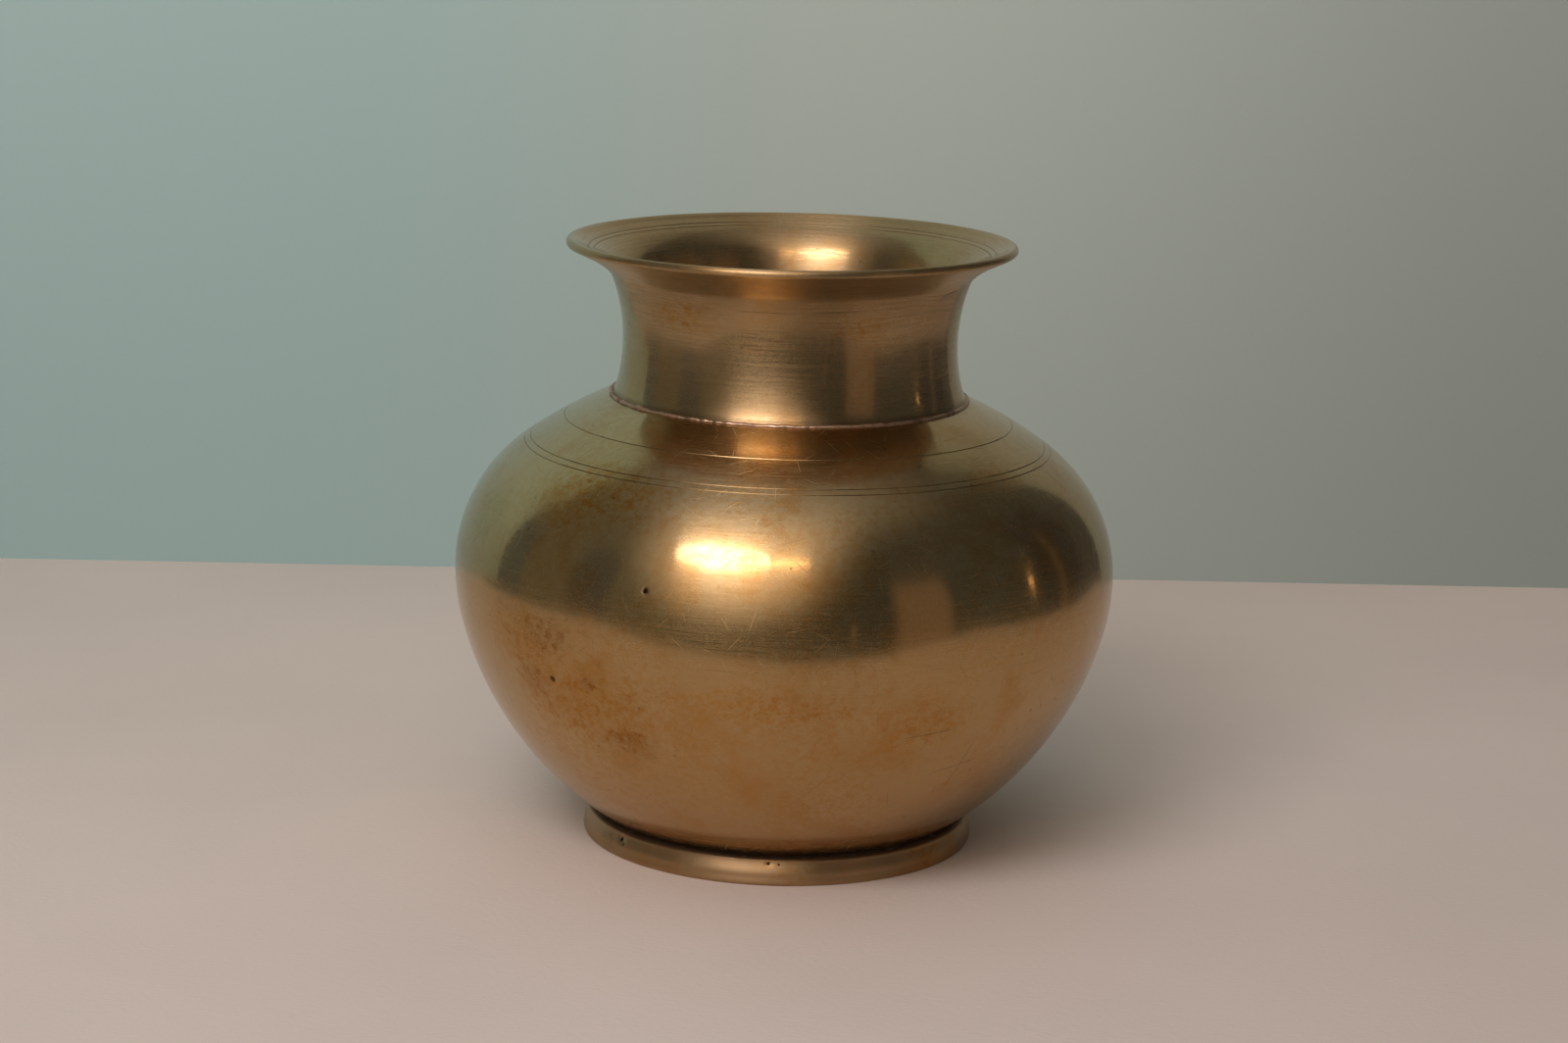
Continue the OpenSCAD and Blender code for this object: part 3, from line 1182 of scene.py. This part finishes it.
@dataclass
class Bead(Piece):
    """The bead of brazing spelter in the corner between shoulder and neck."""

    node: str = "neck_braze"
    slot: str = "braze_spelter"
    radius: float = 0.52
    out: float = 0.15
    sides: int = 14
    steps: int = 720

    @staticmethod
    def swell(place: Vector) -> float:
        """How lumpy the bead is at a place: most at the left front, least at the right."""
        azimuth = math.degrees(math.atan2(place.x, -place.y))
        left = math.exp(-(((azimuth + 45) / 22) ** 2))
        front = 0.7 * math.exp(-(((azimuth + 8) / 12) ** 2))
        return min(1.0, 0.3 + left + front)

    def build(self, bowl: Bowl, neck: Neck) -> Body:
        """Makes the bead in the corner between two pieces."""
        centre = Vector((neck.root + self.out, bowl.shoulder_height(neck.root)))
        outline = Outline()
        outline.to(centre + self.radius * turned(0))
        outline.arc(centre, self.radius, 0, 360, math.tau * self.radius / self.sides)
        piece = Lathe.spin("brazing_bead", outline, self.steps)
        Lathe.weigh(piece, "lumps", self.swell)
        Lathe.ripple(piece, Ripple(3.2, 0.30, "lumps"), Ripple(1.1, 0.18, "lumps"))
        Lathe.soften(piece, 60)
        finish = JointMetal("pink_spelter", (0.56, 0.37, 0.25), (0.20, 0.13, 0.09), 0.50, 0.68)
        return self.settle(piece, finish.material())


@dataclass
class Foot(Piece):
    """The cast foot ring, drawn in towards its top."""

    node: str = "foot_ring"
    slot: str = "foot_brass"
    draft: float = 1.1
    edge: float = 0.5
    bore: float = 40.6
    knocks: tuple[tuple[float, float, float, float], ...] = (
        (-52, 4.3, 0.5, 1.3), (-50.5, 3.3, 0.3, 0.9), (-2, 4.9, 0.25, 0.7)
    )
    spacing: float = 0.45
    steps: int = 384

    def __post_init__(self) -> None:
        """Takes the radius and height from the frame."""
        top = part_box(self.node)[1] / MM
        self.radius, self.height = top.x, top.z

    def surface(self, azimuth: float, height: float) -> Vector:
        """Point on the ring's outer face, in metres."""
        return around(azimuth, self.radius - self.draft * height / self.height, height)

    def build(self) -> Body:
        """Makes the ring, with its casting faults and a knock on its upper edge."""
        outline, e = Outline(), self.edge
        top = self.radius - self.draft
        tread = (self.bore + e, self.bore + e + 1.2, self.radius - 1.2, self.radius - e)
        outline.to(*((radius, 0) for radius in tread))
        outline.arc(Vector((self.radius - e, e)), e, -90, 0, 0.16)
        start, end = Vector((self.radius, e)), Vector((top, self.height - e))
        knee = Vector((self.radius - 0.2, self.height * 0.4))
        outline.curve(start, start + Vector((0, 0.6)), knee - Vector((0, 0.6)), knee, self.spacing)
        outline.curve(knee, knee + Vector((0, 0.8)), end - Vector((-0.2, 0.8)), end, self.spacing)
        outline.arc(Vector((top - e, self.height - e)), e, 0, 90, 0.16)
        outline.to((self.bore + 1, self.height), (self.bore, self.height), (self.bore, self.height / 2))
        outline.arc(Vector((self.bore + e, e)), e, 180, 270, 0.2)
        piece = Lathe.spin("foot_ring_cast", outline, self.steps)
        Lathe.ripple(piece, Ripple(14, 0.07), Ripple(3, 0.02))
        for azimuth, height, depth, reach in self.knocks:
            place = self.surface(azimuth, height)
            Lathe.press(piece, place, Vector((-place.x, -place.y, 0)).normalized() * depth * MM, reach)
        Lathe.soften(piece)
        finish = Brass(
            "cast_foot_brass", coppery=(0.40, 0.27, 0.148), mirror=0.34, haze=0.46,
            turning_depth=0.0008, anisotropy=0.6, tarnish_share=0.5, swirls=0.05,
        )
        marks = [
            Mark(MarkKind.PIT, -52, 4.2, 0.7, 0.7),
            Mark(MarkKind.PIT, -50.5, 3.2, 0.45, 0.8),
            Mark(MarkKind.PIT, -2, 4.9, 0.5),
            Mark(MarkKind.PIT, 1, 4.7, 0.3),
            Mark(MarkKind.BROWN_STAIN, -58, 3, 2.5, 1.4, 0.6),
            Mark(MarkKind.ORANGE_STAIN, 48, 3, 3.0, 2.0, 0.7),
        ]
        # Painted shade of the gap under the bowl, with dirt, along the ring's top edge.
        seams = [Seam(self.height, 0.6, 0.7)]
        return self.settle(piece, finish.material(self.surface, marks, (), seams))


@dataclass
class Fillet(Piece):
    """The solder in the wedge between the bowl and the foot ring, coloured dark: blackened solder, and
    painted shade of the gap under the bowl.
    """

    node: str = "foot_solder"
    slot: str = "dark_solder"
    rise: float = 0.7
    steps: int = 512

    def build(self, bowl: Bowl, foot: Foot) -> Body:
        """Makes the fillet between two pieces."""
        outer = foot.radius - foot.draft - foot.edge
        bottom, sunk = foot.height - 0.2, 0.4
        outline = Outline()
        high = bottom + self.rise
        inner = foot.bore + 0.4
        outline.to((inner, bottom), (outer - 0.15, bottom))
        start, end = Vector((outer - 0.15, bottom)), Vector((bowl.radius_at(high) - sunk, high))
        outline.curve(start, start + Vector((-0.1, 0.5)), end - Vector((0.5, 0.3)), end, 0.25)
        outline.to((end.x - 0.7, high - 0.1), (inner, bottom))
        piece = Lathe.spin("foot_solder_fillet", outline, self.steps)
        Lathe.ripple(piece, Ripple(3.5, 0.14), Ripple(1.2, 0.10))
        Lathe.soften(piece, 60)
        # Its dark colours are blackened solder and painted shade of the gap together.
        finish = JointMetal(
            "blackened_solder_and_gap_shade", (0.27, 0.22, 0.17), (0.10, 0.073, 0.050), 0.30, 0.46, 0.45, 0.8,
            metallic=0.6,
        )
        return self.settle(piece, finish.material())


# ---------------------------------------------------------------- the room


@dataclass(frozen=True)
class Panel:
    """Something in the room that the brass mirrors, by where it is seen from the pot, in degrees."""

    azimuth: float
    width: float
    low: float
    high: float
    colour: Colour
    soft: float = 5.0


@dataclass
class Room:
    """The dim room in front of the table, drawn by direction, and a plain backdrop for the camera."""

    low_left: Colour = (0.145, 0.140, 0.115)
    low_right: Colour = (0.062, 0.064, 0.060)
    high_left: Colour = (0.52, 0.55, 0.66)
    high_right: Colour = (0.30, 0.29, 0.27)
    backdrop: Colour = (0.22, 0.25, 0.23)
    glow: Colour = (1.35, 1.13, 1.02)
    glow_at: tuple[float, float] = (-19, 40)
    glow_reach: tuple[float, float] = (47.0, 60.0)
    panels: tuple[Panel, ...] = (
        Panel(-110, 17, -25, 26, (0.095, 0.118, 0.128)),
        Panel(-91, 15, -25, 45, (0.140, 0.135, 0.105)),
        Panel(-70, 17, -25, 32, (0.090, 0.096, 0.100)),
        Panel(49, 20, -30, 25, (0.215, 0.160, 0.122)),
        Panel(77, 31, -30, 56, (0.066, 0.072, 0.070)),
        Panel(113, 26, -30, 35, (0.045, 0.047, 0.050)),
        Panel(24, 1.8, -12, 0, (0.20, 0.15, 0.10), 1.0),
        Panel(112, 3.0, -20, 24, (0.13, 0.11, 0.085), 1.5),
        Panel(95, 2.2, 6.6, 9.0, (4.2, 2.7, 1.6), 0.7),
    )

    def build(self) -> None:
        """Sets the world's shader."""
        world = bpy.data.worlds.new("room")
        bpy.context.scene.world = world
        world.use_nodes = True
        g = Graph(world.node_tree)
        g.tree.nodes.clear()
        way = g.vector("NORMALIZE", g.add("ShaderNodeTexCoord").outputs["Generated"])
        x, y, z = g.split(way)
        elevation = g.math("DEGREES", g.math("ARCSINE", z))
        azimuth = g.math("DEGREES", g.math("ARCTAN2", x, g.times(y, -1.0)))
        right = g.step(x, -0.75, 0.55)
        low = g.blend(right, self.low_left, self.low_right)
        high = g.blend(right, self.high_left, self.high_right)
        colour = g.blend(g.step(elevation, 46, 86), low, high)
        sideways = g.times(g.minus(azimuth, self.glow_at[0]), g.math("COSINE", g.math("ARCSINE", z)))
        upward = g.minus(elevation, self.glow_at[1])
        spread = g.join(*(g.over(v, reach) for v, reach in zip((sideways, upward), self.glow_reach)), 0.0)
        near = g.step(g.vector("LENGTH", spread), 0.1, 1.0, 1, 0)
        glow = g.scaled(self.glow, g.math("POWER", near, 1.6))
        for panel in self.panels:
            turn = g.math("WRAP", g.minus(azimuth, panel.azimuth), 180.0, -180.0)
            half, soft = panel.width / 2, panel.soft
            across = g.step(g.math("ABSOLUTE", turn), half - soft / 2, half + soft / 2, 1, 0)
            above = g.step(elevation, panel.low - soft, panel.low + soft)
            below = g.step(elevation, panel.high - soft, panel.high + soft, 1, 0)
            mask = g.times(across, g.times(above, below))
            colour = g.blend(mask, colour, panel.colour)
        colour = g.vector("ADD", colour, glow)
        seen = g.add("ShaderNodeLightPath").outputs["Is Camera Ray"]
        colour = g.blend(seen, colour, self.backdrop)
        shade = g.add("ShaderNodeBackground", {"Color": colour})
        g.feed(g.add("ShaderNodeOutputWorld").inputs["Surface"], shade.outputs[0])


@dataclass(frozen=True)
class SoftLight:
    """A round or oval lamp that points at the pot."""

    name: str
    azimuth: float
    elevation: float
    distance: float
    width: float
    height: float
    radiance: float
    colour: Colour

    def build(self, target: Vector) -> None:
        """Hangs the lamp.

        Args:
            target: The point that it is aimed at, in metres.
        """
        a, e = math.radians(self.azimuth), math.radians(self.elevation)
        way = Vector((math.sin(a) * math.cos(e), -math.cos(a) * math.cos(e), math.sin(e)))
        lamp = bpy.data.lights.new(self.name, "AREA")
        lamp.shape = "ELLIPSE"
        lamp.size, lamp.size_y = self.width, self.height
        lamp.color = self.colour
        lamp.energy = self.radiance * math.pi * (math.pi / 4 * self.width * self.height)
        holder = bpy.data.objects.new(self.name, lamp)
        holder.location = target + way * self.distance
        holder.rotation_euler = (-way).to_track_quat("-Z", "Y").to_euler()
        holder.visible_camera = False
        bpy.context.collection.objects.link(holder)


@dataclass
class Stage:
    """A table with a plain pale cloth, a pale wall behind it with painted shade on it, and the lamps, in
    metres.
    """

    side: float = 0.42
    front: float = -0.215
    cloth_back: float = 0.32
    far: float = 3.0
    far_drop: float = 0.0008
    weave: float = 0.10
    wall_back: float = 0.258
    wall_left: float = -0.65
    wall_right: float = 0.30
    wall_height: float = 0.62
    wall_turn: float = 2.5
    cloth: Colour = (0.81, 0.72, 0.66)
    wall_left_colour: Colour = (0.51, 0.74, 0.74)
    wall_right_colour: Colour = (0.61, 0.74, 0.70)
    lamps: tuple[SoftLight, ...] = (
        SoftLight("umbrella_lamp", -25, 42.5, 0.82, 0.42, 0.24, 7.5, (1.0, 0.92, 0.93)),
        SoftLight("warm_lamp", 1, 41.5, 0.82, 0.20, 0.10, 4.0, (1.0, 0.68, 0.38)),
    )

    def build(self) -> None:
        """Sets the table, the wall and the lamps."""
        self.table("table_cloth", self.side, self.front, self.cloth_back, 0.0)
        far = self.table("far_cloth", self.far, -self.far, self.far, -self.far_drop)
        far.visible_glossy = False
        self.wall()
        for lamp in self.lamps:
            lamp.build(Vector((0, 0, 0.06)))

    @staticmethod
    def sheet(name: str, corners: Iterable[Vector]) -> Body:
        """A flat four-cornered sheet, its front on the side from which the corners run anticlockwise."""
        mesh = bpy.data.meshes.new(name)
        mesh.from_pydata([tuple(c) for c in corners], [], [(0, 1, 2, 3)])
        sheet = bpy.data.objects.new(name, mesh)
        bpy.context.collection.objects.link(sheet)
        return sheet

    def table(self, name: str, side: float, front: float, back: float, height: float) -> Body:
        """Lays one stretch of the cloth, as wide to the left as to the right."""
        corners = ((-side, front), (side, front), (side, back), (-side, back))
        cloth = self.sheet(name, (Vector((x, y, height)) for x, y in corners))
        if "pale_cloth" not in bpy.data.materials:
            self.cloth_material()
        cloth.data.materials.append(bpy.data.materials["pale_cloth"])
        return cloth

    def cloth_material(self) -> Material:
        """Plain pale cloth with a faint weave."""
        material, g, shader = start_finish("pale_cloth")
        place = g.add("ShaderNodeTexCoord").outputs["Object"]
        tone = g.noise(place, 9.0, 3, 0.5)
        darker = tuple(c * 0.95 for c in self.cloth)
        g.feed(shader.inputs["Base Color"], g.blend(g.step(tone, 0.3, 0.7), self.cloth, darker))
        weave = g.noise(g.vector("MULTIPLY", place, (500.0, 900.0, 1.0)), 1.0, 2, 0.6)
        g.emboss(shader, g.times(weave, self.weave * MM))
        shader.inputs["Roughness"].default_value = 0.95
        shader.inputs["Specular IOR Level"].default_value = 0.15
        return material

    def wall(self) -> None:
        """Stands the wall behind the table: pale, cooler on the left, darkened by painted shade towards the
        bottom and towards the right, clear when seen from behind.
        """
        turn = Matrix.Rotation(math.radians(self.wall_turn), 4, "Z")
        foot = Vector((0, self.wall_back, 0))
        ends = (self.wall_left, self.wall_right, self.wall_right, self.wall_left)
        heights = (-0.002, -0.002, self.wall_height, self.wall_height)
        corners = [foot + turn @ Vector((x, 0, z)) for x, z in zip(ends, heights)]
        wall = self.sheet("wall", corners)
        material, g, shader = start_finish("pale_wall")
        x, _, z = g.split(g.add("ShaderNodeTexCoord").outputs["Object"])
        colour = g.blend(g.step(x, -0.13, 0.02), self.wall_left_colour, self.wall_right_colour)
        # Painted shade: the wall's colour grows darker towards the table and towards the right, where the
        # light falls off.
        fade = g.times(g.step(z, 0.0, 0.26, 0.80, 1.02), g.step(x, 0.02, 0.26, 1.0, 0.72))
        g.feed(shader.inputs["Base Color"], g.scaled(colour, fade))
        shader.inputs["Roughness"].default_value = 0.8
        shader.inputs["Specular IOR Level"].default_value = 0.2
        behind = g.add("ShaderNodeNewGeometry").outputs["Backfacing"]
        clear = g.add("ShaderNodeBsdfTransparent").outputs[0]
        shade = g.add("ShaderNodeMixShader", {0: behind, 1: shader.outputs[0], 2: clear})
        g.feed(g.tree.nodes["Material Output"].inputs["Surface"], shade.outputs[0])
        wall.data.materials.append(material)


@dataclass(frozen=True)
class Viewpoint:
    """The camera: where it stands, in metres, how it is turned, in degrees, and its lens."""

    place: tuple[float, float, float] = (0.0, -0.74408, 0.23404)
    pitch: float = 12.258
    yaw: float = -0.024
    roll: float = 1.660
    lens: float = 76.5

    def build(self) -> None:
        """Makes the camera and gives it to the scene."""
        camera = bpy.data.cameras.new("camera")
        camera.lens, camera.sensor_width = self.lens, 36.0
        camera.clip_start, camera.clip_end = 0.02, 50.0
        holder = bpy.data.objects.new("camera", camera)
        turn = (
            Matrix.Rotation(math.radians(-self.yaw), 4, "Z")
            @ Matrix.Rotation(math.radians(90 - self.pitch), 4, "X")
            @ Matrix.Rotation(math.radians(self.roll), 4, "Z")
        )
        holder.matrix_world = Matrix.Translation(self.place) @ turn
        bpy.context.collection.objects.link(holder)
        bpy.context.scene.camera = holder


def main() -> None:
    """Builds the pot, its stage and its camera."""
    logging.basicConfig(level=logging.INFO, format="%(name)s: %(message)s")
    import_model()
    view = bpy.context.scene.view_settings
    view.view_transform, view.look = "Standard", "None"

    bowl, neck, foot = Bowl(), Neck(), Foot()
    bowl.build(neck.bore)
    neck.build(bowl)
    Bead().build(bowl, neck)
    foot.build()
    Fillet().build(bowl, foot)

    Room().build()
    Stage().build()
    Viewpoint().build()


if __name__ == "__main__":
    main()
